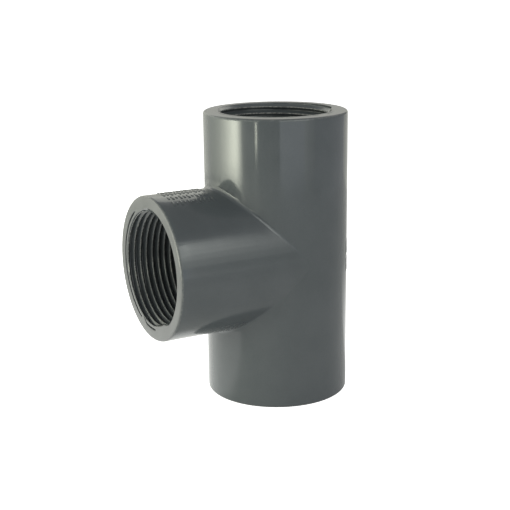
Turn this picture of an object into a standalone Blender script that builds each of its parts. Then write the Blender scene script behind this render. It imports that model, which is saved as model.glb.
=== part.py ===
"""A 90 degree tee for rigid PVC pipework, with a female 1 1/4 inch parallel pipe thread in each of its three ends.

It is one injection moulding, so it is one object. It stands on the lower end of its run, and the branch points
along -X. The origin is the middle of the bottom of its bounding box.
"""

import math

import bmesh
import bpy
from mathutils import Matrix, Vector

MM = 0.001

# The moulding's outside
OUTER_RADIUS = 25.0 * MM  # the run
RUN_LENGTH = 100.0 * MM  # end face to end face
BRANCH_REACH = 49.0 * MM  # run axis to the branch's end face
BRANCH_ROOT_RADIUS = 24.95 * MM  # at the run's axis: the branch has a little draft
BRANCH_END_RADIUS = 24.8 * MM
RIM_ROUND = 0.9 * MM  # rounding of the outer edge of each end

# The thread: 1 1/4 inch BSP parallel, 11 turns to the inch, 55 degree Whitworth form
PITCH = 25.4 * MM / 11
MAJOR_RADIUS = 41.910 * MM / 2
MINOR_RADIUS = MAJOR_RADIUS - 0.640327 * PITCH
FLAT = PITCH / 6  # width of the crest and of the root, which stand for the rounded ones
THREAD_DEPTH = 22.4 * MM  # from the end face to where the first turn begins
THREAD_TURNS = 11  # enough to pass the end face from that depth
THREAD_START = math.radians(232.3)  # where the first turn begins, about the end's own axis

# The bores
WATERWAY_RADIUS = 18.5 * MM
BRANCH_WATERWAY_RADIUS = 18.2 * MM
WATERWAY_START = 18 * MM  # depth at which its cutter begins, inside the socket
WATERWAY_TURN = math.radians(3.3)  # sets its facets off those of the outside, so that no edges coincide

# The raised marks: plain strokes, two rows behind the branch and three on top of it
MARK_HEIGHT = 0.35 * MM
MARK_SUNK = 0.6 * MM  # how deep a stroke's block reaches into the wall
STROKE_WIDTH = 1.0 * MM
STROKE_LENGTHS = (1.0, 0.45, 1.0, 0.7)  # of a row's height, repeated along the row
BACK_ROW_HEIGHT = 5.2 * MM
BACK_ROW_GAP = 2.4 * MM
BACK_STROKES = 13
BACK_STROKE_STEP = math.radians(6)
TOP_ROW_HEIGHT = 4.0 * MM
TOP_ROW_STEP = math.radians(17)
TOP_STROKES = 7
TOP_STROKE_STEP = 2.3 * MM
TOP_ROW_MIDDLE = 36.3 * MM  # from the run's axis, along the branch

OUTER_SEGMENTS = 72
BORE_SEGMENTS = 36
RIM_STEPS = 3
MERGE_DISTANCE = 0.00001

# Places worked out from the sizes above
BACK_REACH = OUTER_RADIUS + MARK_HEIGHT
RUN_X = (BRANCH_REACH - BACK_REACH) / 2
MIDDLE = Vector((RUN_X, 0, RUN_LENGTH / 2))
UP = Matrix.Translation((RUN_X, 0, RUN_LENGTH))
DOWN = Matrix.Translation((RUN_X, 0, 0)) @ Matrix.Rotation(math.pi, 4, "X")
OUT = Matrix.Translation((RUN_X - BRANCH_REACH, 0, RUN_LENGTH / 2)) @ Matrix.Rotation(-math.pi / 2, 4, "Y")


def clear_scene():
    for obj in list(bpy.data.objects):
        bpy.data.objects.remove(obj)


def new_collection(name):
    collection = bpy.data.collections.new(name)
    bpy.context.scene.collection.children.link(collection)
    return collection


def new_object(name, mesh, collection):
    obj = bpy.data.objects.new(name, mesh)
    collection.objects.link(obj)
    return obj


def evaluated_copy(obj):
    bpy.context.view_layer.update()
    graph = bpy.context.evaluated_depsgraph_get()
    return bpy.data.meshes.new_from_object(obj.evaluated_get(graph))


def screw_modifier(obj, steps):
    screw = obj.modifiers.new("Screw", "SCREW")
    screw.axis = "Z"
    screw.steps = screw.render_steps = steps
    screw.use_merge_vertices = True
    screw.merge_threshold = MERGE_DISTANCE
    return screw


def outline(name, points, collection):
    """An object of bare edges through (radius, height) points, in the XZ plane."""
    edges = [(i, i + 1) for i in range(len(points) - 1)]
    mesh = bpy.data.meshes.new(name)
    mesh.from_pydata([(radius, 0, height) for radius, height in points], edges, [])
    return new_object(name, mesh, collection)


def turned(name, points, steps, collection):
    """The solid that (radius, height) points, from the top of the axis to its bottom, sweep about Z."""
    obj = outline(name, points, collection)
    screw_modifier(obj, steps)
    return obj


def rim(radius, face, inward):
    """The rounded outer edge of an end, from its face to its side. inward is the sign of the way into the solid."""
    points = []
    for step in range(RIM_STEPS + 1):
        turn = math.pi / 2 * step / RIM_STEPS
        across = radius - RIM_ROUND + RIM_ROUND * math.sin(turn)
        points.append((across, face + inward * RIM_ROUND * (1 - math.cos(turn))))
    return points


def run_body(collection):
    top = rim(OUTER_RADIUS, RUN_LENGTH, -1)
    bottom = rim(OUTER_RADIUS, 0, 1)
    points = [(0, RUN_LENGTH)] + top + bottom[::-1] + [(0, 0)]
    obj = turned("tee_body", points, OUTER_SEGMENTS, collection)
    obj.location = (RUN_X, 0, 0)
    return obj


def branch_body(collection):
    """The branch from its end face, at height 0 of its own frame, down to the run's axis."""
    points = [(0, 0)] + rim(BRANCH_END_RADIUS, 0, -1)
    points += [(BRANCH_ROOT_RADIUS, -BRANCH_REACH), (0, -BRANCH_REACH)]
    obj = turned("branch_form", points, OUTER_SEGMENTS, collection)
    obj.matrix_world = OUT
    return obj


def run_waterway(collection):
    low, high = WATERWAY_START, RUN_LENGTH - WATERWAY_START
    points = [(0, high), (WATERWAY_RADIUS, high), (WATERWAY_RADIUS, low), (0, low)]
    obj = turned("run_waterway", points, BORE_SEGMENTS, collection)
    obj.matrix_world = Matrix.Translation((RUN_X, 0, 0)) @ Matrix.Rotation(WATERWAY_TURN, 4, "Z")
    return obj


def branch_waterway(collection):
    low, high = -BRANCH_REACH, -WATERWAY_START
    points = [(0, high), (BRANCH_WATERWAY_RADIUS, high), (BRANCH_WATERWAY_RADIUS, low), (0, low)]
    obj = turned("branch_waterway", points, BORE_SEGMENTS, collection)
    obj.matrix_world = OUT @ Matrix.Rotation(WATERWAY_TURN, 4, "Z")
    return obj


def close_end(shape, height):
    """Closes the open end of a thread whose edges are nearest to this height, with a fan from a point on the axis."""
    rim_edges = [edge for edge in shape.edges if edge.is_boundary]
    rim_edges = [edge for edge in rim_edges if abs(edge.verts[0].co.z - height) < 2 * PITCH]
    apex = shape.verts.new((0, 0, height))
    for edge in rim_edges:
        shape.faces.new((edge.verts[0], edge.verts[1], apex))


def thread_plug(name, end, collection):
    """The threaded core that forms one socket: one pitch of the outline swept up a right-handed helix."""
    flank = PITCH / 2 - FLAT
    points = [(MINOR_RADIUS, 0), (MINOR_RADIUS, FLAT), (MAJOR_RADIUS, FLAT + flank)]
    points += [(MAJOR_RADIUS, PITCH - flank), (MINOR_RADIUS, PITCH)]
    sweep = outline(name + "_sweep", points, collection)
    screw = screw_modifier(sweep, BORE_SEGMENTS)
    screw.screw_offset = PITCH
    screw.iterations = THREAD_TURNS
    mesh = evaluated_copy(sweep)
    bpy.data.objects.remove(sweep)

    shape = bmesh.new()
    shape.from_mesh(mesh)
    bmesh.ops.remove_doubles(shape, verts=shape.verts, dist=MERGE_DISTANCE)
    close_end(shape, PITCH / 2)
    close_end(shape, (THREAD_TURNS + 0.5) * PITCH)
    bmesh.ops.recalc_face_normals(shape, faces=shape.faces)
    shape.to_mesh(mesh)
    shape.free()

    obj = new_object(name, mesh, collection)
    obj.matrix_world = end @ Matrix.Translation((0, 0, -THREAD_DEPTH)) @ Matrix.Rotation(THREAD_START, 4, "Z")
    return obj


def stroke(shape, place, width, length):
    """Adds a block centred on place, whose Z points out of the wall: its top stands MARK_HEIGHT proud."""
    depth = MARK_HEIGHT + MARK_SUNK
    size = Matrix.Diagonal((width, length, depth, 1))
    lift = Matrix.Translation((0, 0, MARK_HEIGHT - depth / 2))
    bmesh.ops.create_cube(shape, size=1, matrix=place @ lift @ size)


def back_strokes(shape):
    """Two rows of upright strokes around the run, opposite the branch."""
    row_step = BACK_ROW_HEIGHT + BACK_ROW_GAP
    for row in (-0.5, 0.5):
        for column in range(BACK_STROKES):
            turn = (column - (BACK_STROKES - 1) / 2) * BACK_STROKE_STEP
            length = BACK_ROW_HEIGHT * STROKE_LENGTHS[column % len(STROKE_LENGTHS)]
            foot = row * row_step - BACK_ROW_HEIGHT / 2
            outward = Matrix.Rotation(turn, 4, "Z") @ Matrix.Rotation(math.pi / 2, 4, "Y")
            place = Matrix.Translation(MIDDLE + Vector((0, 0, foot + length / 2))) @ outward
            place = place @ Matrix.Translation((0, 0, OUTER_RADIUS))
            stroke(shape, place, length, STROKE_WIDTH)


def top_strokes(shape):
    """Three rows of strokes along the top of the branch."""
    draft = (BRANCH_ROOT_RADIUS - BRANCH_END_RADIUS) / BRANCH_REACH
    radius = BRANCH_ROOT_RADIUS - draft * TOP_ROW_MIDDLE
    for row in (-1, 0, 1):
        for column in range(TOP_STROKES):
            along = TOP_ROW_MIDDLE + (column - (TOP_STROKES - 1) / 2) * TOP_STROKE_STEP
            length = TOP_ROW_HEIGHT * STROKE_LENGTHS[(column + row) % len(STROKE_LENGTHS)]
            place = Matrix.Translation(MIDDLE - Vector((along, 0, 0)))
            place = place @ Matrix.Rotation(row * TOP_ROW_STEP, 4, "X") @ Matrix.Translation((0, 0, radius))
            stroke(shape, place, STROKE_WIDTH, length)


def raised_marks(collection):
    shape = bmesh.new()
    back_strokes(shape)
    top_strokes(shape)
    mesh = bpy.data.meshes.new("raised_marks")
    shape.to_mesh(mesh)
    shape.free()
    return new_object("raised_marks", mesh, collection)


def combine(obj, other, operation):
    modifier = obj.modifiers.new(other.name, "BOOLEAN")
    modifier.operation = operation
    modifier.object = other


def grey_pvc():
    material = bpy.data.materials.new("grey_pvc")
    material.use_nodes = True
    shader = material.node_tree.nodes["Principled BSDF"]
    shader.inputs["Base Color"].default_value = (0.085, 0.098, 0.103, 1)
    shader.inputs["Roughness"].default_value = 0.28
    shader.inputs["Metallic"].default_value = 0
    return material


def build():
    clear_scene()
    parts = new_collection("pvc_tee_fitting")
    forms = new_collection("tee_forms_and_cutters")

    body = run_body(parts)
    body.data.materials.append(grey_pvc())
    combine(body, branch_body(forms), "UNION")
    combine(body, raised_marks(forms), "UNION")
    for name, end in (("top", UP), ("bottom", DOWN), ("branch", OUT)):
        combine(body, thread_plug(name + "_thread", end, forms), "DIFFERENCE")
    combine(body, run_waterway(forms), "DIFFERENCE")
    combine(body, branch_waterway(forms), "DIFFERENCE")

    for helper in forms.objects:
        helper.hide_render = True
        helper.display_type = "WIRE"

    place = body.matrix_world.copy()
    mesh = evaluated_copy(body)
    mesh.transform(place)
    mesh.shade_smooth()
    mesh.set_sharp_from_angle(angle=math.radians(30))
    body.modifiers.clear()
    body.data = mesh
    body.location = (0, 0, 0)


build()
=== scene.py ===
"""The looks of a rigid PVC pipe tee with female threads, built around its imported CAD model.

The whole moulding is one closed mesh. Its points are worked out in the tee's own frame: s runs
along the branch from the run's axis towards the mouth, y is across, and h is up from the level
where the two axes cross. Lengths are in metres, except in the material, which is in millimetres.
"""

import math

import bmesh
import bpy
import numpy as np
from mathutils import Matrix, Vector


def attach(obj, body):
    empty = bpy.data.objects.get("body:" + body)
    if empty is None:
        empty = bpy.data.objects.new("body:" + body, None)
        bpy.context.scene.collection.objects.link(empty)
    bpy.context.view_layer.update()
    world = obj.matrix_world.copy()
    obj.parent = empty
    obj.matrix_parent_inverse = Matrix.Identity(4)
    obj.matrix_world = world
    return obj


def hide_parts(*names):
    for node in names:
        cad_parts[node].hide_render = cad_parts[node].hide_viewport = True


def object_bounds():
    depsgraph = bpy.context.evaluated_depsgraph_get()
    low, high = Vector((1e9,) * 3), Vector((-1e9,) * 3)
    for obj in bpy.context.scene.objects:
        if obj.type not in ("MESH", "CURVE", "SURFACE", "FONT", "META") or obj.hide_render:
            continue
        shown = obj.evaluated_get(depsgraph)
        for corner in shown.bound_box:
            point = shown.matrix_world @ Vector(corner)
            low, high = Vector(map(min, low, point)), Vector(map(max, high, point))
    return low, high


MM = 0.001

# Outside
RUN_RADIUS = 25.0 * MM
BRANCH_REACH = 49.0 * MM  # run axis to the branch's end face
BRANCH_ROOT_RADIUS = 24.95 * MM  # at the run's axis
BRANCH_END_RADIUS = 24.8 * MM
RIM_ROUND = 0.9 * MM
CREASE_ROUND = 1.6 * MM  # fillet where the branch meets the run
TAPER_PASSES = 3  # rounds that settle the tapered branch's radius along the fillet

# Thread: 1 1/4 inch BSP parallel, true Whitworth form with rounded crests and roots
PITCH = 25.4 * MM / 11
MAJOR_RADIUS = 41.910 * MM / 2
MINOR_RADIUS = MAJOR_RADIUS - 0.640327 * PITCH
THREAD_ROUND = 0.137329 * PITCH
FLANK_ANGLE = math.radians(27.5)
THREAD_END = 21.5 * MM  # depth of the shoulder behind the thread
GROOVE_DEPTH = 2.162 * MM  # middle of the first groove, at the thread's angle 0
# Angle of the thread that lies at each end's angle 0
THREAD_TURN = {"branch": 0.0, "top": math.radians(230.5), "bottom": math.radians(120)}
CHAMFER = 0.15 * MM  # on the thread's edge in the face

# Start of the thread, as pairs of the thread's degrees between which each change is made
GROOVE_FILLS = (178, 194)  # the first groove fills up
GROOVE_OPENS = (208, 222)  # and opens again, as a recess as wide as the thread
RECESS_FILLS = (0, 22)
LAND_RADIUS = MINOR_RADIUS + 0.17 * MM  # outside the first crest, where the recess is filled

# Flash line of the thread core in an end face: a thin groove round the thread, which breaks off,
# steps inwards and ends. Its pairs are the thread's degrees, as above.
LINE_RADIUS = 20.9 * MM
LINE_WIDTH = 0.78 * MM
LINE_DEPTH = 1.1 * MM
LINE_STARTS = (27, 50)
LINE_BREAK = (154.5, 156)
LINE_RESUMES = (159, 161)
LINE_JOINS = 169  # back at LINE_RADIUS
LINE_ENDS = (176, 190)
LINE_STEP = 1.35 * MM  # how far in it resumes
LAND_DEPTH = 0.12 * MM  # of the face inside the line, below the face outside it
LAND_ENDS = (134.5, 154.5)
LINE_SHARE = {"branch": 1.0, "top": 0.12, "bottom": 0.12}  # of both depths, at each end
# From its outer side inwards: how far out in widths, and the share of its depth
LINE_SECTION = ((0.55, 0), (0.45, 0.1), (0.3, 1), (-0.3, 1), (-0.45, 0.1), (-0.55, 0))
LINE_SPACING = 0.01 * MM  # left between its rows of points where the thread's edge pushes them out

# Bores behind the threads
WATERWAY_RADIUS = 18.5 * MM
BRANCH_WATERWAY_RADIUS = 18.2 * MM

# Raised marks: plain strokes
MARK_SUNK = 0.6 * MM  # how far a stroke reaches into the wall
STROKE_LENGTHS = (1.0, 0.45, 1.0, 0.7)  # in heights of the row, repeated along it
STROKE_BEVEL = 0.12 * MM
STROKE_BEVEL_STEPS = 2
BACK_ROWS = 2
BACK_ROW_HEIGHT = 4.7 * MM
BACK_ROW_GAP = 1.5 * MM
BACK_ROWS_DOWN = 1.0 * MM  # their middle, below the level of the branch's axis
BACK_STROKES = 17
BACK_STROKE_STEP = math.radians(5.2)
BACK_STROKE_WIDTH = 1.0 * MM
BACK_MARK_HEIGHT = 0.08 * MM
TOP_ROWS = 4
TOP_ROW_HEIGHT = 2.7 * MM
TOP_ROW_STEP = math.radians(9.5)
TOP_ROWS_TURN = math.radians(-6)  # of their middle, from the top; negative is towards -y
TOP_ROW_MIDDLE = 36.32 * MM  # from the run's axis
TOP_STROKES = 11
TOP_STROKE_STEP = 1.45 * MM
TOP_STROKE_WIDTH = 0.6 * MM
TOP_MARK_HEIGHT = 0.22 * MM

# Mesh fineness
SKIN_COLUMNS = 240
BACK_COLUMNS = 122
BRANCH_ROWS = 10
RUN_ROWS = 12
CREASE_ROWS = 8
RIM_ROWS = 6
THREAD_COLUMNS = 224
ROUND_STEPS = 4  # round a crest or a root of the thread
FACE_RADIUS = 21.9 * MM  # of the face's ring of THREAD_COLUMNS points
SHARP_ANGLE = math.radians(25)

# PVC colours
SKIN_DARK = (0.0665, 0.0755, 0.0815, 1)
SKIN_LIGHT = (0.0755, 0.0845, 0.0908, 1)
# End faces: lighter than the skin, as painted light standing in for the light that falls on them
PAINTED_LIT_FACE_DARK = (0.096, 0.1, 0.105, 1)
PAINTED_LIT_FACE_LIGHT = (0.12, 0.124, 0.13, 1)
# Lighter colour on rims and thread crests: partly wear, partly painted highlight
WEAR_AND_HIGHLIGHT_COLOUR = (0.21, 0.213, 0.205, 1)

# PVC zones, in mm, as pairs from where a zone starts to where it is full. The depths are below
# an end face and the radii from its axis.
FACE_DEPTH = (0.35, 0.1)
RIM_DEPTH = (0.9, 0.35)
RUN_RIM_RADIUS = (24.3, 24.8)
BRANCH_RIM_RADIUS = (24.1, 24.6)
THREAD_ZONE_DEPTH = (21.6, 21.4)
THREAD_ZONE_RADIUS = (21.4, 21.2)
CREST_RADIUS = (19.62, 19.5)
FIRST_CRESTS_DEPTH = (6.0, 4.0)

# PVC noises: features to a millimetre, detail, and stretch where it isn't even
CLOUD = (0.09, 3.0)
SPECK = (2.2, 2.0)
CHIPS = (1.1, 3.0)
GLOSS_CHANGE = (0.35, 3.0)
WAVES = (0.16, 1.0, (1, 1, 0.55))
PIMPLES = (1.6, 2.0)
GRAIN = (3.0, 1.0)

# PVC strengths
CLOUD_SHARE = 0.7  # of the tone; the specks have the rest
SKIN_TONES = (0.3, 0.7)  # tones that give the dark and the light colour
FACE_TONES = (0.35, 0.65)
CHIPPED = (0.42, 0.62)  # values of their noise between which the chips come up
# Rims and thread crests lightened: partly wear, partly painted highlight, most on the first crests,
# where light falls in through the mouths
RIM_WEAR_AND_HIGHLIGHT = 0.4
CREST_WEAR_AND_HIGHLIGHT = 0.85
FIRST_CRESTS_WEAR_AND_HIGHLIGHT = 0.7  # on top of that
UNCHIPPED_SHARE = 0.3  # share of the wear and painted highlight that isn't broken up into chips
WEAR_AND_HIGHLIGHT_SHARE = 0.75  # of the wear-and-highlight colour at full strength
FACE_ROUGHNESS = 0.3
WEAR_AND_HIGHLIGHT_ROUGHNESS = 0.3
SKIN_ROUGHNESS = 0.075  # least
SKIN_ROUGHNESS_CHANGE = 0.07
PVC_IOR = 1.53
WAVE_HEIGHT = 0.03  # mm
PIMPLE_HEIGHT = 0.0012
GRAIN_HEIGHT = 0.006

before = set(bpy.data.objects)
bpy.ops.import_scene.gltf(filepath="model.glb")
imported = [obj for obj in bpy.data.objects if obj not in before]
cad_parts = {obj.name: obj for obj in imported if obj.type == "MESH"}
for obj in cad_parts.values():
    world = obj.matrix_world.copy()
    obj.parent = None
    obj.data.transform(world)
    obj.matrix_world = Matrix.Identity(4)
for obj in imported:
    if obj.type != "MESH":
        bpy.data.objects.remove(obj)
cad_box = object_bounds()
box_low, box_high = cad_box
RUN_HALF = (box_high.z - box_low.z) / 2
RUN_X = box_low.x + BRANCH_REACH
CROSSING = Vector((RUN_X, 0, box_low.z + RUN_HALF))


class Skin:
    """Points and faces gathered patch by patch."""

    def __init__(self):
        self.blocks = []
        self.count = 0
        self.faces = []

    def put(self, points):
        """Adds points of shape (..., 3) and returns their indices, of shape (...)."""
        points = np.asarray(points, float)
        flat = points.reshape(-1, 3)
        index = np.arange(self.count, self.count + len(flat)).reshape(points.shape[:-1])
        self.blocks.append(flat)
        self.count += len(flat)
        return index

    def points(self):
        return np.concatenate(self.blocks)

    def quads(self, index, closed=False):
        """Faces between neighbours of an index grid. Corners that are one point are dropped."""
        if closed:
            index = np.concatenate([index, index[:, :1]], axis=1)
        corners = [index[:-1, :-1], index[1:, :-1], index[1:, 1:], index[:-1, 1:]]
        for quad in np.stack(corners, axis=-1).reshape(-1, 4).tolist():
            face = [p for k, p in enumerate(quad) if p != quad[k - 1]]
            if len(set(face)) == len(face) and len(face) > 2:
                self.faces.append(face)

    def zip_loops(self, outer, inner, axes):
        """Triangles between two closed loops round one axis. axes are the coordinates across it."""
        points = self.points()

        def in_order(loop):
            angle = np.arctan2(points[loop, axes[1]], points[loop, axes[0]])
            order = np.argsort(angle)
            return np.asarray(loop)[order], angle[order]

        a, angle_a = in_order(outer)
        b, angle_b = in_order(inner)
        start = int(np.argmin(np.abs(angle_b - angle_a[0])))
        b = np.roll(b, -start)
        angle_b = np.unwrap(np.roll(angle_b, -start))
        a = np.append(a, a[0])
        b = np.append(b, b[0])
        angle_a = np.append(angle_a, angle_a[0] + 2 * math.pi)
        angle_b = np.append(angle_b, angle_b[0] + 2 * math.pi)
        i = j = 0
        while i < len(a) - 1 or j < len(b) - 1:
            if j == len(b) - 1 or (i < len(a) - 1 and angle_a[i + 1] <= angle_b[j + 1]):
                self.faces.append([int(a[i]), int(a[i + 1]), int(b[j])])
                i += 1
            else:
                self.faces.append([int(a[i]), int(b[j + 1]), int(b[j])])
                j += 1


def tee_skin(skin, run_radius, run_half, root_radius, end_radius, reach, fillet):
    """A straight pipe's wall with a branch running out of it. Returns its three end loops."""
    phi = 2 * math.pi * np.arange(SKIN_COLUMNS) / SKIN_COLUMNS
    radius = np.full(SKIN_COLUMNS, root_radius)
    for _ in range(TAPER_PASSES):
        across = (radius + fillet) * np.cos(phi)
        out = np.sqrt((run_radius + fillet) ** 2 - across**2)
        radius = root_radius + (end_radius - root_radius) * out / BRANCH_REACH
    up = (radius + fillet) * np.sin(phi)
    centre = np.stack([out, across, up], axis=-1)
    on_branch = np.stack([out, radius * np.cos(phi), radius * np.sin(phi)], axis=-1)
    shrink = run_radius / (run_radius + fillet)
    on_run = np.stack([out * shrink, across * shrink, up], axis=-1)

    rows = [on_branch]
    if fillet > 0:
        a, b = (on_branch - centre) / fillet, (on_run - centre) / fillet
        angle = np.arccos(np.clip((a * b).sum(-1), -1, 1))[:, None]
        for k in range(1, CREASE_ROWS):
            t = k / CREASE_ROWS
            toward = (a * np.sin((1 - t) * angle) + b * np.sin(t * angle)) / np.sin(angle)
            rows.append(centre + fillet * toward)
        rows.append(on_run)
    saddle = skin.put(np.stack(rows))
    skin.quads(saddle, closed=True)

    rows = []
    for k in range(1, BRANCH_ROWS + 1):
        s = out + (reach - out) * k / BRANCH_ROWS
        r = root_radius + (end_radius - root_radius) * s / BRANCH_REACH
        rows.append(np.stack([s, r * np.cos(phi), r * np.sin(phi)], axis=-1))
    branch = np.concatenate([saddle[:1], skin.put(np.stack(rows))])
    skin.quads(branch, closed=True)

    half = SKIN_COLUMNS // 2
    theta = np.arctan2(across, out)
    halves = (("top", np.arange(half + 1), 1), ("bottom", np.arange(half, 2 * half + 1), -1))
    sides = {}
    for name, columns, sign in halves:
        columns = columns % SKIN_COLUMNS
        turn, foot = theta[columns], up[columns]
        x, y = run_radius * np.cos(turn), run_radius * np.sin(turn)
        rows = []
        for k in range(1, RUN_ROWS + 1):
            h = foot + (sign * run_half - foot) * k / RUN_ROWS
            rows.append(np.stack([x, y, h], axis=-1))
        sides[name] = np.concatenate([saddle[-1:, columns], skin.put(np.stack(rows))])
        skin.quads(sides[name])

    # the back, from the crease's +y end round to its -y end
    first = np.concatenate([sides["bottom"][:0:-1, -1], sides["top"][:, 0]])
    last = np.concatenate([sides["bottom"][:0:-1, 0], sides["top"][:, -1]])
    turn = np.linspace(theta[0], 2 * math.pi - theta[0], BACK_COLUMNS)[1:-1]
    h = run_half * np.arange(-RUN_ROWS, RUN_ROWS + 1) / RUN_ROWS
    x, y = run_radius * np.cos(turn), run_radius * np.sin(turn)
    middle = np.stack(np.broadcast_arrays(x, y, h[:, None]), axis=-1)
    back = np.concatenate([first[:, None], skin.put(middle), last[:, None]], axis=1)
    skin.quads(back)

    top = np.concatenate([back[-1], sides["top"][-1, -2:0:-1]])
    bottom = np.concatenate([back[0], sides["bottom"][-1, 1:-1]])
    return {"branch": branch[-1], "top": top, "bottom": bottom}


# How an end's own frame sits in the tee's: its axes X, Y and outward Z, and how far out its face is
ENDS = {
    "branch": ((0, 0, 1), (0, 1, 0), (1, 0, 0), BRANCH_REACH),
    "top": ((-1, 0, 0), (0, 1, 0), (0, 0, 1), RUN_HALF),
    "bottom": ((-1, 0, 0), (0, -1, 0), (0, 0, -1), RUN_HALF),
}
ACROSS = {"branch": (1, 2), "top": (0, 1), "bottom": (0, 1)}  # the tee's coordinates across an end


def place(end, angle, radius, depth):
    """Points of the tee's frame, from angle, radius and depth in one end."""
    x_axis, y_axis, z_axis, reach = ENDS[end]
    angle, radius, depth = np.broadcast_arrays(angle, radius, depth)
    x = (radius * np.cos(angle))[..., None] * np.array(x_axis, float)
    y = (radius * np.sin(angle))[..., None] * np.array(y_axis, float)
    return x + y + (reach - depth)[..., None] * np.array(z_axis, float)


def thread_outline():
    """One pitch of the thread as (part of a pitch, radius), starting in the middle of a root."""
    steps = ROUND_STEPS // 2
    flank = math.pi / 2 - FLANK_ANGLE
    turns = [flank * k / steps for k in range(steps + 1)]
    arc = [(THREAD_ROUND * math.sin(t), THREAD_ROUND * (1 - math.cos(t))) for t in turns]
    root = [(z, MAJOR_RADIUS - rise) for z, rise in arc]
    crest = [(PITCH / 2 - z, MINOR_RADIUS + rise) for z, rise in reversed(arc)]
    half = root + crest
    whole = half + [(PITCH - z, r) for z, r in reversed(half)][1:-1]
    return np.array([z / PITCH for z, _ in whole]), np.array([r for _, r in whole])


def smooth(value, first, last):
    """0 up to first, 1 from last on, with a soft step between."""
    t = np.clip((value - first) / (last - first), 0, 1)
    return t * t * (3 - 2 * t)


def run_out(radius, angle, turns):
    """The thread's radius where its first groove ends, fills up, and opens into the core's recess.

    turns counts pitches inwards from the middle of the first groove. Its crests are at the halves.
    """
    turn = np.degrees(angle)
    opened = smooth(turn, *GROOVE_OPENS)
    filled = smooth(turn, *GROOVE_FILLS) * (1 - opened)
    radius = np.where(turns < 0.5, radius + (MINOR_RADIUS - radius) * filled, radius)
    radius = np.where(turns < 0, radius + (MAJOR_RADIUS - radius) * opened, radius)
    radius = np.where(turns < -1, MAJOR_RADIUS, radius)
    land = radius + (LAND_RADIUS - radius) * smooth(turn, *RECESS_FILLS)
    return np.where(turns < -0.5, land, radius)


def thread_radius(angle, depth):
    """Radius of the thread's surface at the thread's angle and a depth."""
    part, radius = thread_outline()
    turns = (depth - GROOVE_DEPTH) / PITCH + angle / (2 * math.pi)
    plain = np.interp(turns % 1, np.append(part, 1), np.append(radius, radius[0]))
    return run_out(plain, angle, turns)


def core_line(angle):
    """Radius and strength of the line at the thread's angle, and strength of the land inside it."""
    turn = np.degrees(angle) % 360
    step = 1 - smooth(turn, LINE_RESUMES[0], LINE_JOINS)
    radius = LINE_RADIUS - LINE_STEP * np.where(turn > LINE_BREAK[1], step, 0)
    starts = smooth(turn, *LINE_STARTS)
    first = starts * (1 - smooth(turn, *LINE_BREAK))
    second = smooth(turn, *LINE_RESUMES) * (1 - smooth(turn, *LINE_ENDS))
    return radius, first + second, starts * (1 - smooth(turn, *LAND_ENDS))


def socket(skin, end, face_loop, bore_loop):
    """The end face from its rim to the thread, the thread, and the shoulder behind it."""
    turn = THREAD_TURN[end]
    angle = 2 * math.pi * np.arange(THREAD_COLUMNS + 1) / THREAD_COLUMNS
    part, radius = thread_outline()
    # whole pitches, from outside the face to past the thread's end
    lowest = -math.ceil(GROOVE_DEPTH / PITCH) - 1
    highest = math.ceil(THREAD_END / PITCH) + 2
    turns = np.arange(lowest, highest)
    row_part = (turns[:, None] + part[None, :]).reshape(-1)
    plain = np.tile(radius, len(turns))[:, None]
    surface = run_out(plain, angle[None, :], row_part[:, None])
    depth = GROOVE_DEPTH + PITCH * (row_part[:, None] - angle[None, :] / (2 * math.pi))

    around = angle[:-1]
    level = 0 * around
    line_radius, line, land = core_line(around)
    land_depth = LAND_DEPTH * LINE_SHARE[end] * land
    line_depth = LINE_DEPTH * LINE_SHARE[end]
    edge_depth = land_depth + CHAMFER
    edge_radius = thread_radius(around, edge_depth)
    edge = skin.put(place(end, around - turn, edge_radius, edge_depth))
    floor_depth = level + THREAD_END
    floor_radius = thread_radius(around, floor_depth)
    floor = skin.put(place(end, around - turn, floor_radius, floor_depth))

    # rows of the helix, with what lies past the thread's two edges drawn on to them
    before = depth <= np.append(edge_depth, edge_depth[0])
    beyond = depth >= THREAD_END
    grid = np.empty(depth.shape, int)
    rows, columns = np.nonzero(~(before | beyond)[:, :-1])
    points = place(end, angle[columns] - turn, surface[rows, columns], depth[rows, columns])
    grid[rows, columns] = skin.put(points)
    grid[len(part) :, -1] = grid[: -len(part), 0]
    for clamped, ring in ((before, edge), (beyond, floor)):
        rows, columns = np.nonzero(clamped)
        grid[rows, columns] = np.append(ring, ring[0])[columns]
    skin.quads(grid)

    face = [skin.put(place(end, around - turn, FACE_RADIUS, level))]
    lip = edge_radius + CHAMFER
    for k, (out, sunk) in enumerate(LINE_SECTION):
        least = lip + (len(LINE_SECTION) - k) * LINE_SPACING
        radius = np.maximum(line_radius + out * LINE_WIDTH, least)
        base = land_depth if k >= len(LINE_SECTION) // 2 else level
        sunk_depth = base + (line_depth - base) * sunk * line
        face.append(skin.put(place(end, around - turn, radius, sunk_depth)))
    face += [skin.put(place(end, around - turn, lip, land_depth)), edge]
    skin.quads(np.stack(face), closed=True)
    skin.zip_loops(face_loop, face[0], ACROSS[end])
    skin.zip_loops(floor, bore_loop, ACROSS[end])


def rounded_rim(skin, end, loop, radius):
    """Rolls an end's outer edge over from loop, on its side. Returns the loop on its face."""
    points = skin.points()[loop]
    x_axis, y_axis = (np.array(axis, float) for axis in ENDS[end][:2])
    angle = np.arctan2(points @ y_axis, points @ x_axis)
    rows = [loop]
    for k in range(1, RIM_ROWS + 1):
        t = math.pi / 2 * k / RIM_ROWS
        across = radius - RIM_ROUND * (1 - math.cos(t))
        rows.append(skin.put(place(end, angle, across, RIM_ROUND * (1 - math.sin(t)))))
    skin.quads(np.stack(rows), closed=True)
    return rows[-1]


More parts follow.
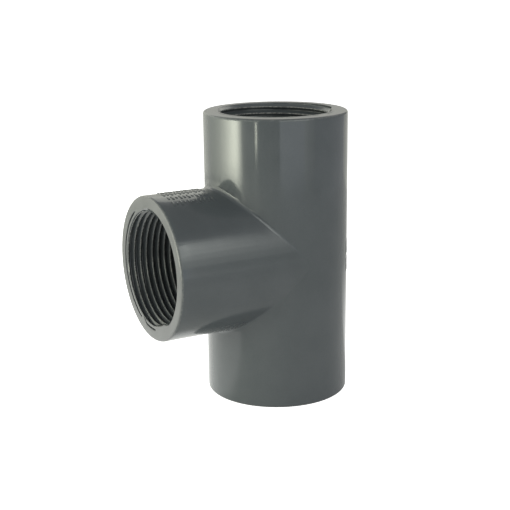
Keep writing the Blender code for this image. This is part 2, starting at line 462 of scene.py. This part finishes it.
def body_mesh():
    """The whole moulding apart from its raised marks, in the CAD's frame."""
    skin = Skin()
    outside = tee_skin(
        skin,
        RUN_RADIUS,
        RUN_HALF - RIM_ROUND,
        BRANCH_ROOT_RADIUS,
        BRANCH_END_RADIUS,
        BRANCH_REACH - RIM_ROUND,
        CREASE_ROUND,
    )
    inside = tee_skin(
        skin,
        WATERWAY_RADIUS,
        RUN_HALF - THREAD_END,
        BRANCH_WATERWAY_RADIUS,
        BRANCH_WATERWAY_RADIUS,
        BRANCH_REACH - THREAD_END,
        0,
    )
    for end, radius in (("branch", BRANCH_END_RADIUS), ("top", RUN_RADIUS), ("bottom", RUN_RADIUS)):
        face_loop = rounded_rim(skin, end, outside[end], radius)
        socket(skin, end, face_loop, inside[end])

    points = skin.points() * (-1, 1, 1) + tuple(CROSSING)
    mesh = bpy.data.meshes.new("tee_moulding")
    mesh.from_pydata(points.tolist(), [], skin.faces)
    shape = bmesh.new()
    shape.from_mesh(mesh)
    bmesh.ops.recalc_face_normals(shape, faces=shape.faces)
    shape.to_mesh(mesh)
    shape.free()
    return mesh


def new_object(name, data):
    obj = bpy.data.objects.new(name, data)
    bpy.context.scene.collection.objects.link(obj)
    return obj


def stroke(shape, place_matrix, width, length, height):
    """Adds one raised block with softened edges at place_matrix, whose Z points out of the wall."""
    depth = height + MARK_SUNK
    size = Matrix.Diagonal((width, length, depth, 1))
    lift = Matrix.Translation((0, 0, height - depth / 2))
    made = bmesh.ops.create_cube(shape, size=1, matrix=place_matrix @ lift @ size)
    edges = list({edge for vert in made["verts"] for edge in vert.link_edges})
    bmesh.ops.bevel(
        shape,
        geom=edges,
        offset=STROKE_BEVEL,
        segments=STROKE_BEVEL_STEPS,
        profile=0.5,  # round
        affect="EDGES",
    )


def marks_mesh():
    shape = bmesh.new()
    row_step = BACK_ROW_HEIGHT + BACK_ROW_GAP
    out_of_run = Matrix.Translation((0, 0, RUN_RADIUS))
    for row in range(BACK_ROWS):
        foot = (row - (BACK_ROWS - 1) / 2) * row_step - BACK_ROW_HEIGHT / 2 - BACK_ROWS_DOWN
        for column in range(BACK_STROKES):
            turn = (column - (BACK_STROKES - 1) / 2) * BACK_STROKE_STEP
            length = BACK_ROW_HEIGHT * STROKE_LENGTHS[column % len(STROKE_LENGTHS)]
            outward = Matrix.Rotation(turn, 4, "Z") @ Matrix.Rotation(math.pi / 2, 4, "Y")
            spot = Matrix.Translation(CROSSING + Vector((0, 0, foot + length / 2))) @ outward
            stroke(shape, spot @ out_of_run, length, BACK_STROKE_WIDTH, BACK_MARK_HEIGHT)
    taper = (BRANCH_END_RADIUS - BRANCH_ROOT_RADIUS) / BRANCH_REACH
    out_of_branch = Matrix.Translation((0, 0, BRANCH_ROOT_RADIUS + taper * TOP_ROW_MIDDLE))
    for row in range(TOP_ROWS):
        turn = TOP_ROWS_TURN + (row - (TOP_ROWS - 1) / 2) * TOP_ROW_STEP
        for column in range(TOP_STROKES):
            along = TOP_ROW_MIDDLE + (column - (TOP_STROKES - 1) / 2) * TOP_STROKE_STEP
            length = TOP_ROW_HEIGHT * STROKE_LENGTHS[(column + row) % len(STROKE_LENGTHS)]
            spot = Matrix.Translation(CROSSING - Vector((along, 0, 0)))
            spot = spot @ Matrix.Rotation(-turn, 4, "X") @ out_of_branch
            stroke(shape, spot, TOP_STROKE_WIDTH, length, TOP_MARK_HEIGHT)
    mesh = bpy.data.meshes.new("tee_marks")
    shape.to_mesh(mesh)
    shape.free()
    return mesh


def join_marks(body):
    """Joins the body to its raised marks in one closed solid."""
    marks = new_object("tee_marks", marks_mesh())
    union = body.modifiers.new("marks", "BOOLEAN")
    union.operation = "UNION"
    union.solver = "MANIFOLD"
    union.object = marks
    bpy.context.view_layer.update()
    graph = bpy.context.evaluated_depsgraph_get()
    mesh = bpy.data.meshes.new_from_object(body.evaluated_get(graph))
    body.modifiers.clear()
    body.data = mesh
    bpy.data.objects.remove(marks)


class Graph:
    """Adds nodes to a material, a world or a light."""

    def __init__(self, owner):
        owner.use_nodes = True
        self.nodes = owner.node_tree.nodes
        self.links = owner.node_tree.links

    def feed(self, socket, value):
        if isinstance(value, bpy.types.NodeSocket):
            self.links.new(value, socket)
        else:
            socket.default_value = value

    def add(self, kind, inputs, **settings):
        """A node with its settings and inputs. An input is a value or another node's output."""
        node = self.nodes.new(f"ShaderNode{kind}")
        for name, value in settings.items():
            setattr(node, name, value)
        for key, value in inputs.items():
            self.feed(node.inputs[key], value)
        return node

    def math(self, operation, a, b=0.0):
        return self.add("Math", {0: a, 1: b}, operation=operation).outputs["Value"]

    def times(self, a, b):
        return self.math("MULTIPLY", a, b)

    def plus(self, a, b):
        return self.math("ADD", a, b)

    def larger(self, a, b):
        return self.math("MAXIMUM", a, b)

    def distance(self, a, b):
        """Distance from an axis, from the two coordinates across it."""
        return self.math("SQRT", self.plus(self.times(a, a), self.times(b, b)))

    def step(self, value, first, last):
        """0 up to first, 1 from last on, softly. first may be the larger."""
        inputs = {
            "Value": value,
            "From Min": min(first, last),
            "From Max": max(first, last),
            "To Min": 0.0 if first < last else 1.0,
            "To Max": 1.0 if first < last else 0.0,
        }
        node = self.add("MapRange", inputs, interpolation_type="SMOOTHSTEP")
        return node.outputs["Result"]

    def noise(self, point, scale, detail, stretch=(1, 1, 1)):
        """Noise from 0 to 1, with about scale features to a unit of point."""
        mapping = self.add("Mapping", {"Vector": point, "Scale": [scale * s for s in stretch]})
        inputs = {"Vector": mapping.outputs["Vector"], "Scale": 1.0, "Detail": detail}
        return self.add("TexNoise", inputs).outputs["Fac"]

    def blend(self, factor, a, b):
        """One colour at 0, another at 1."""
        return self.add("Mix", {"Factor": factor, 6: a, 7: b}, data_type="RGBA").outputs[2]

    def bump(self, height, distance, normal=None):
        """A surface normal tilted by the height, which counts for distance millimetres."""
        inputs = {"Height": height, "Strength": 1.0, "Distance": distance * MM}
        if normal is not None:
            inputs["Normal"] = normal
        return self.add("Bump", inputs).outputs["Normal"]

    def white_to_camera(self, strength):
        """The strength for all light but what the camera sees directly, for which it is 1."""
        path = self.add("LightPath", {})
        inputs = {"Factor": path.outputs["Is Camera Ray"], "A": strength, "B": 1.0}
        return self.add("Mix", inputs, data_type="FLOAT").outputs["Result"]


def grey_pvc():
    """Moulded grey PVC: glossy, a little uneven, duller on end faces and lighter there as painted
    light, worn on rims and crests with painted highlight there too.
    """
    material = bpy.data.materials.new("grey_pvc")
    graph = Graph(material)
    shader = graph.nodes["Principled BSDF"].inputs
    point = graph.add("TexCoord", {}).outputs["Object"]
    centred = graph.add("VectorMath", {0: point, 1: CROSSING}, operation="SUBTRACT")
    inputs = {0: centred.outputs["Vector"], "Scale": 1 / MM}
    point = graph.add("VectorMath", inputs, operation="SCALE").outputs["Vector"]
    x, y, z = graph.add("SeparateXYZ", {"Vector": point}).outputs
    reach = graph.times(x, -1.0)
    height = graph.math("ABSOLUTE", z)
    from_run = graph.distance(y, x)
    from_branch = graph.distance(y, z)

    def at_run_ends(depths):
        first, last = (RUN_HALF / MM - depth for depth in depths)
        return graph.step(height, first, last)

    def at_branch_end(depths):
        first, last = (BRANCH_REACH / MM - depth for depth in depths)
        return graph.step(reach, first, last)

    # end faces, rims and threads
    face = graph.larger(at_run_ends(FACE_DEPTH), at_branch_end(FACE_DEPTH))
    run_rim = graph.times(at_run_ends(RIM_DEPTH), graph.step(from_run, *RUN_RIM_RADIUS))
    at_mouth = graph.step(from_branch, *BRANCH_RIM_RADIUS)
    branch_rim = graph.times(at_branch_end(RIM_DEPTH), at_mouth)
    within_run = graph.step(from_run, *THREAD_ZONE_RADIUS)
    within_branch = graph.step(from_branch, *THREAD_ZONE_RADIUS)
    run_threads = graph.times(at_run_ends(THREAD_ZONE_DEPTH), within_run)
    branch_thread = graph.times(at_branch_end(THREAD_ZONE_DEPTH), within_branch)
    run_crests = graph.times(run_threads, graph.step(from_run, *CREST_RADIUS))
    branch_crests = graph.times(branch_thread, graph.step(from_branch, *CREST_RADIUS))

    # wear and painted highlight on rims and crests, more on the first crests, partly broken up into
    # chips
    first = graph.larger(at_run_ends(FIRST_CRESTS_DEPTH), at_branch_end(FIRST_CRESTS_DEPTH))
    crest_wear_and_highlight = graph.plus(graph.times(first, FIRST_CRESTS_WEAR_AND_HIGHLIGHT), CREST_WEAR_AND_HIGHLIGHT)
    crest_wear_and_highlight = graph.times(graph.larger(run_crests, branch_crests), crest_wear_and_highlight)
    rim_wear_and_highlight = graph.times(graph.larger(run_rim, branch_rim), RIM_WEAR_AND_HIGHLIGHT)
    chips = graph.step(graph.noise(point, *CHIPS), *CHIPPED)
    broken = graph.plus(graph.times(chips, 1 - UNCHIPPED_SHARE), UNCHIPPED_SHARE)
    wear_and_highlight = graph.times(graph.larger(rim_wear_and_highlight, crest_wear_and_highlight), broken)

    # slow clouds and fine specks of colour
    cloud = graph.times(graph.noise(point, *CLOUD), CLOUD_SHARE)
    speck = graph.times(graph.noise(point, *SPECK), 1 - CLOUD_SHARE)
    tone = graph.plus(cloud, speck)
    skin_colour = graph.blend(graph.step(tone, *SKIN_TONES), SKIN_DARK, SKIN_LIGHT)
    # the end faces' lighter colour is painted light
    painted_lit_face_colour = graph.blend(graph.step(tone, *FACE_TONES), PAINTED_LIT_FACE_DARK, PAINTED_LIT_FACE_LIGHT)
    colour = graph.blend(face, skin_colour, painted_lit_face_colour)
    # rims and crests lightened: partly wear, partly painted highlight
    colour = graph.blend(graph.times(wear_and_highlight, WEAR_AND_HIGHLIGHT_SHARE), colour, WEAR_AND_HIGHLIGHT_COLOUR)
    graph.feed(shader["Base Color"], colour)

    change = graph.times(graph.noise(point, *GLOSS_CHANGE), SKIN_ROUGHNESS_CHANGE)
    rough = graph.plus(change, SKIN_ROUGHNESS)
    rough = graph.larger(rough, graph.times(face, FACE_ROUGHNESS))
    rough = graph.larger(rough, graph.times(wear_and_highlight, WEAR_AND_HIGHLIGHT_ROUGHNESS))
    graph.feed(shader["Roughness"], rough)
    graph.feed(shader["IOR"], PVC_IOR)

    # slow waves of the moulded skin, fine pimples, and grain on the end faces and in the threads
    normal = graph.bump(graph.noise(point, *WAVES), WAVE_HEIGHT)
    normal = graph.bump(graph.noise(point, *PIMPLES), PIMPLE_HEIGHT, normal)
    grained = graph.larger(face, graph.larger(run_threads, branch_thread))
    normal = graph.bump(graph.times(graph.noise(point, *GRAIN), grained), GRAIN_HEIGHT, normal)
    graph.feed(shader["Normal"], normal)
    return material


tee = new_object("tee_moulding", body_mesh())
join_marks(tee)
tee.data.shade_smooth()
tee.data.set_sharp_from_angle(angle=SHARP_ANGLE)
tee.data.materials.clear()
tee.data.materials.append(grey_pvc())
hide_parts("tee_body")
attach(tee, "root")


# Camera
CAMERA_AZIMUTH = math.radians(239.769)
CAMERA_ELEVATION = math.radians(14.418)
CAMERA_DISTANCE = 394.73 * MM  # from the crossing
CAMERA_ROLL = math.radians(-0.658)
AIM = Vector((-6.473, 3.941, -1.813)) * MM  # from the crossing
SENSOR = 36.0
LENS = 78.23
CLIP_START = 10 * MM

# Light. Radiance is 1 where it shows as white. Azimuths of the panels are in degrees.
LIGHT_DISTANCE = 0.45
LIGHT_TURN = math.radians(1.3)  # of all the panels, round the tee
WARM = (0.97, 1.0, 0.826)
SOFT_WARM = (0.99, 1.0, 0.86)
NEUTRAL = (0.95, 1.0, 0.94)
COOL = (0.85, 0.91, 1.0)
SKY = ((0.2, 0.22), (0.42, 0.6), (0.66, 0.6), (0.8, 0.3))  # sine of elevation, radiance
WHITE = (1, 1, 1, 1)
FLOOR_COLOUR = (0.8, 0.8, 0.8, 1)
FLOOR_RADIUS = 6.0
FLOOR_SIDES = 96
FLOOR_GAP = 0.02 * MM  # below the tee
FLOOR_GLOW = 0.75
FLOOR_GLOW_REACH = (0.09, 0.2)  # distances where the floor's glow starts to fade and is gone
FLOOR_GLOW_SIDE = math.radians(97)  # azimuth of the half of the floor that glows fully
FLOOR_GLOW_EDGE = (-0.008, 0.004)  # where that half starts, and where it is full
FLOOR_GLOW_REST = 0.19  # share of the glow on the other half
LIGHTS = (
    # name, colour, heights of both edges, then the azimuth and radiance at each upright
    ("key", WARM, 0.0, 0.12, (118, 0.8), (130, 1.35), (142, 2.5), (153, 4.9), (162, 8.0)),
    (
        "key_peak", WARM, 0.0, 0.12,
        (162, 8.0), (169, 10.9), (174, 11.9), (178, 11.0), (184, 4.6), (187, 1.0),
    ),
    ("key_tail", WARM, 0.0, 0.12, (187, 1.0), (194, 0.4), (207, 0.25)),
    ("key_top", WARM, 0.12, 0.34, (118, 1.65), (186, 1.65)),
    ("front_left_top", WARM, 0.12, 0.34, (186, 1.3), (213, 1.3)),
    ("strip", WARM, 0.018, 0.095, (207.7, 9.5), (210.2, 9.5)),
    ("fill", COOL, 0.0, 0.12, (245.3, 0.88), (283, 0.85)),
    ("fill_end", NEUTRAL, 0.0, 0.12, (283, 0.8), (290, 0.48), (301, 0.28)),
    (
        "fill_low", NEUTRAL, 0.12, 0.2,
        (245.3, 1.15), (286, 1.2), (291, 0.95), (296, 0.65), (302, 0.45),
    ),
    (
        "fill_middle", NEUTRAL, 0.2, 0.27,
        (245.3, 1.3), (287, 1.85), (291, 1.35), (296, 0.85), (302, 0.45),
    ),
    (
        "fill_high", NEUTRAL, 0.27, 0.34,
        (245.3, 1.5), (281, 2.2), (288, 2.8), (291, 2.2), (295, 1.5), (299, 0.75), (303, 0.4),
    ),
    (
        "fill_top", NEUTRAL, 0.34, 0.46,
        (245.3, 1.5), (281, 2.2), (289.5, 3.2), (293, 2.4), (296, 1.7), (299.5, 0.8), (303, 0.3),
    ),
    ("fill_edge", NEUTRAL, 0.46, 0.52, (245.3, 1.1), (295, 1.1), (299, 0.45), (303, 0.2)),
    ("right", COOL, 0.0, 0.12, (302, 0.21), (372, 0.17)),
    ("back_right", SOFT_WARM, 0.0, 0.12, (12, 0.36), (85, 0.45)),
    ("back", SOFT_WARM, 0.0, 0.12, (85, 0.56), (118, 0.76)),
    ("back_middle", SOFT_WARM, 0.12, 0.2, (30, 0.45), (58, 0.45), (85, 0.75)),
    ("back_top", SOFT_WARM, 0.2, 0.45, (30, 0.85), (85, 0.85)),
    ("back_left_top", SOFT_WARM, 0.12, 0.34, (85, 0.85), (118, 0.85)),
)


def add_camera():
    away = Vector(
        (
            math.cos(CAMERA_ELEVATION) * math.cos(CAMERA_AZIMUTH),
            math.cos(CAMERA_ELEVATION) * math.sin(CAMERA_AZIMUTH),
            math.sin(CAMERA_ELEVATION),
        )
    )
    spot = CROSSING + away * CAMERA_DISTANCE
    forward = (CROSSING + AIM - spot).normalized()
    right = forward.cross(Vector((0, 0, 1))).normalized()
    up = right.cross(forward)
    rolled_right = right * math.cos(CAMERA_ROLL) + up * math.sin(CAMERA_ROLL)
    rolled_up = up * math.cos(CAMERA_ROLL) - right * math.sin(CAMERA_ROLL)
    data = bpy.data.cameras.new("camera")
    data.lens = LENS
    data.sensor_width = SENSOR
    data.clip_start = CLIP_START
    camera = new_object("camera", data)
    turn = Matrix((rolled_right, rolled_up, -forward)).transposed()
    camera.matrix_world = Matrix.Translation(spot) @ turn.to_4x4()
    bpy.context.scene.camera = camera


def soft_box(name, colour, low, high, first, last):
    """One flat panel of soft light between two uprights, each given as azimuth and radiance."""
    half = math.radians(last[0] - first[0]) / 2
    middle = math.radians(first[0] + last[0]) / 2 + LIGHT_TURN
    inward = Vector((-math.cos(middle), -math.sin(middle), 0))
    brightest = max(first[1], last[1])
    data = bpy.data.lights.new(name, "AREA")
    data.color = colour
    data.shape = "RECTANGLE"
    data.size = 2 * LIGHT_DISTANCE * math.sin(half)
    data.size_y = high - low
    # an area light's radiance is its energy over pi times its area
    data.energy = brightest * math.pi * data.size * data.size_y
    if first[1] != last[1]:
        graph = Graph(data)
        across = graph.add("NewGeometry", {}).outputs["Parametric"]
        across = graph.add("SeparateXYZ", {"Vector": across}).outputs["X"]
        shares = {"To Min": first[1] / brightest, "To Max": last[1] / brightest}
        ramp = graph.add("MapRange", {"Value": across, **shares})
        graph.feed(graph.nodes["Emission"].inputs["Strength"], ramp.outputs["Result"])
    light = new_object(name, data)
    axis = Vector((RUN_X, 0, box_low.z + (low + high) / 2))
    light.location = axis - inward * LIGHT_DISTANCE * math.cos(half)
    light.rotation_euler = inward.to_track_quat("-Z", "Y").to_euler()
    light.visible_camera = False


def soft_boxes(name, colour, low, high, *uprights):
    """Panels side by side, with the radiance changing evenly from each upright to the next."""
    for k, (first, last) in enumerate(zip(uprights, uprights[1:])):
        soft_box(f"{name}_{k + 1}", colour, low, high, first, last)


def add_world():
    """A pale dome for the tee, and plain white for the camera."""
    world = bpy.data.worlds.new("studio")
    graph = Graph(world)
    direction = graph.add("TexCoord", {}).outputs["Generated"]
    height = graph.add("SeparateXYZ", {"Vector": direction}).outputs["Z"]
    dome = graph.add("ValToRGB", {"Fac": height})
    stops = dome.color_ramp.elements
    while len(stops) < len(SKY):
        stops.new(SKY[-1][0])
    for stop, (sine, radiance) in zip(stops, SKY):
        stop.position = sine
        stop.color = (radiance, radiance, radiance, 1)
    background = graph.nodes["Background"].inputs
    background["Color"].default_value = WHITE
    graph.feed(background["Strength"], graph.white_to_camera(dome.outputs["Color"]))
    bpy.context.scene.world = world


def pale_floor():
    """A pale floor that glows round the tee, more on one half, and is plain white to the camera."""
    material = bpy.data.materials.new("pale_floor")
    graph = Graph(material)
    shader = graph.nodes["Principled BSDF"].inputs
    shader["Base Color"].default_value = FLOOR_COLOUR
    shader["Roughness"].default_value = 1.0
    shader["Specular IOR Level"].default_value = 0.0
    shader["Emission Color"].default_value = WHITE
    point = graph.add("NewGeometry", {}).outputs["Position"]
    distance = graph.add("VectorMath", {0: point}, operation="LENGTH").outputs["Value"]
    near, far = FLOOR_GLOW_REACH
    fade = {"From Min": near, "From Max": far, "To Min": FLOOR_GLOW, "To Max": 0.0}
    glow = graph.add("MapRange", {"Value": distance, **fade}).outputs["Result"]
    toward = (math.cos(FLOOR_GLOW_SIDE), math.sin(FLOOR_GLOW_SIDE), 0)
    across = graph.add("VectorMath", {0: point, 1: toward}, operation="DOT_PRODUCT")
    starts, full = FLOOR_GLOW_EDGE
    edge = {"From Min": starts, "From Max": full, "To Min": FLOOR_GLOW_REST}
    inputs = {"Value": across.outputs["Value"], **edge}
    side = graph.add("MapRange", inputs, interpolation_type="SMOOTHSTEP").outputs["Result"]
    graph.feed(shader["Emission Strength"], graph.white_to_camera(graph.times(glow, side)))
    return material


def add_floor():
    mesh = bpy.data.meshes.new("floor")
    shape = bmesh.new()
    bmesh.ops.create_circle(shape, cap_ends=True, radius=FLOOR_RADIUS, segments=FLOOR_SIDES)
    shape.to_mesh(mesh)
    shape.free()
    mesh.materials.append(pale_floor())
    floor = new_object("floor", mesh)
    floor.location = (0, 0, box_low.z - FLOOR_GAP)


add_camera()
add_world()
add_floor()
for panels in LIGHTS:
    soft_boxes(*panels)
bpy.context.scene.view_settings.view_transform = "Standard"
